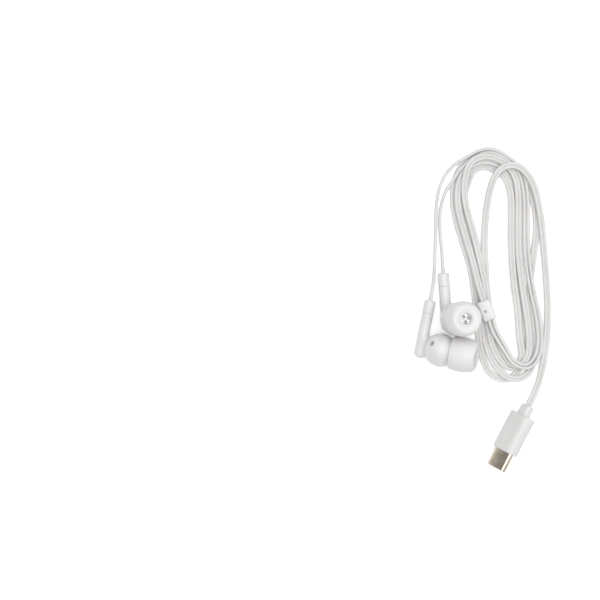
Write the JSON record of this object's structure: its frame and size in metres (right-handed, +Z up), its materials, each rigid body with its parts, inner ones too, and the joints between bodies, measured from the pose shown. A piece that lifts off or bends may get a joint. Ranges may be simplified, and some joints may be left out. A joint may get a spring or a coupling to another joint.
{
  "type": "wired in-ear earphones",
  "caption": "Wired in-ear earphones with straight-stem housings, silicone tips, a Y-split twin cable wound in a loose hank and a USB-C plug.",
  "frame": {"origin": "on the table, under the middle of the two earbuds' own box", "axes": "+Z up off the table, +Y along the hank away from the plug, +X from the earbuds towards the cable hank"},
  "size_m": [0.0506, 0.1194, 0.0239],
  "materials": {
    "housing_white": "moulded gloss white",
    "silicone_white": "satin translucent white silicone",
    "cable_white": "soft satin white PVC",
    "mesh_steel": "fine punched steel",
    "vent_cloth": "woven black acoustic cloth",
    "inner_plastic": "moulded black",
    "driver_steel": "zinc plated",
    "driver_magnet": "nickel plated magnet",
    "copper_wire": "enamelled copper",
    "membrane_film": "clear polyester film",
    "plug_nickel": "bright nickel",
    "plug_black": "moulded black",
    "contact_gold": "gold flash",
    "board_green": "solder mask",
    "capacitor_tan": "ceramic chip"
  },
  "bodies": {
    "earphones": {"left_front_shell": "housing_white", "left_rear_shell": "housing_white", "left_stem_cap": "housing_white", "left_nozzle_grille": "mesh_steel", "left_nozzle_cloth": "vent_cloth", "left_vent_screen": "vent_cloth", "left_driver_frame": "inner_plastic", "left_driver_yoke": "driver_steel", "left_driver_magnet": "driver_magnet", "left_driver_pole_plate": "driver_steel", "left_voice_coil": "copper_wire", "left_diaphragm": "membrane_film", "left_driver_grille": "driver_steel", "left_signal_wires": "copper_wire", "right_front_shell": "housing_white", "right_rear_shell": "housing_white", "right_stem_cap": "housing_white", "right_nozzle_grille": "mesh_steel", "right_nozzle_cloth": "vent_cloth", "right_vent_screen": "vent_cloth", "right_driver_frame": "inner_plastic", "right_driver_yoke": "driver_steel", "right_driver_magnet": "driver_magnet", "right_driver_pole_plate": "driver_steel", "right_voice_coil": "copper_wire", "right_diaphragm": "membrane_film", "right_driver_grille": "driver_steel", "right_signal_wires": "copper_wire", "y_split": "housing_white", "cable_hank": "cable_white", "plug_lead": "cable_white", "left_ear_wire": "cable_white", "right_ear_wire": "cable_white", "plug_shell": "plug_nickel", "plug_insulator": "plug_black", "plug_contacts": "contact_gold", "plug_latches": "plug_nickel", "plug_board": "board_green", "plug_audio_chip": "plug_black", "plug_capacitors": "capacitor_tan", "plug_grip": "housing_white", "plug_boot": "cable_white"},
    "left_tip": {"left_ear_tip": "silicone_white"},
    "right_tip": {"right_ear_tip": "silicone_white"}
  },
  "joints": [
    {"name": "left_tip_pull", "type": "slide", "parent": "earphones", "child": "left_tip", "axis": [0.1903, 0.0136, 0.9816], "range_m": [0, 0.0057]},
    {"name": "right_tip_pull", "type": "slide", "parent": "earphones", "child": "right_tip", "axis": [0.9422, -0.1883, 0.2773], "range_m": [0, 0.0057]}
  ]
}
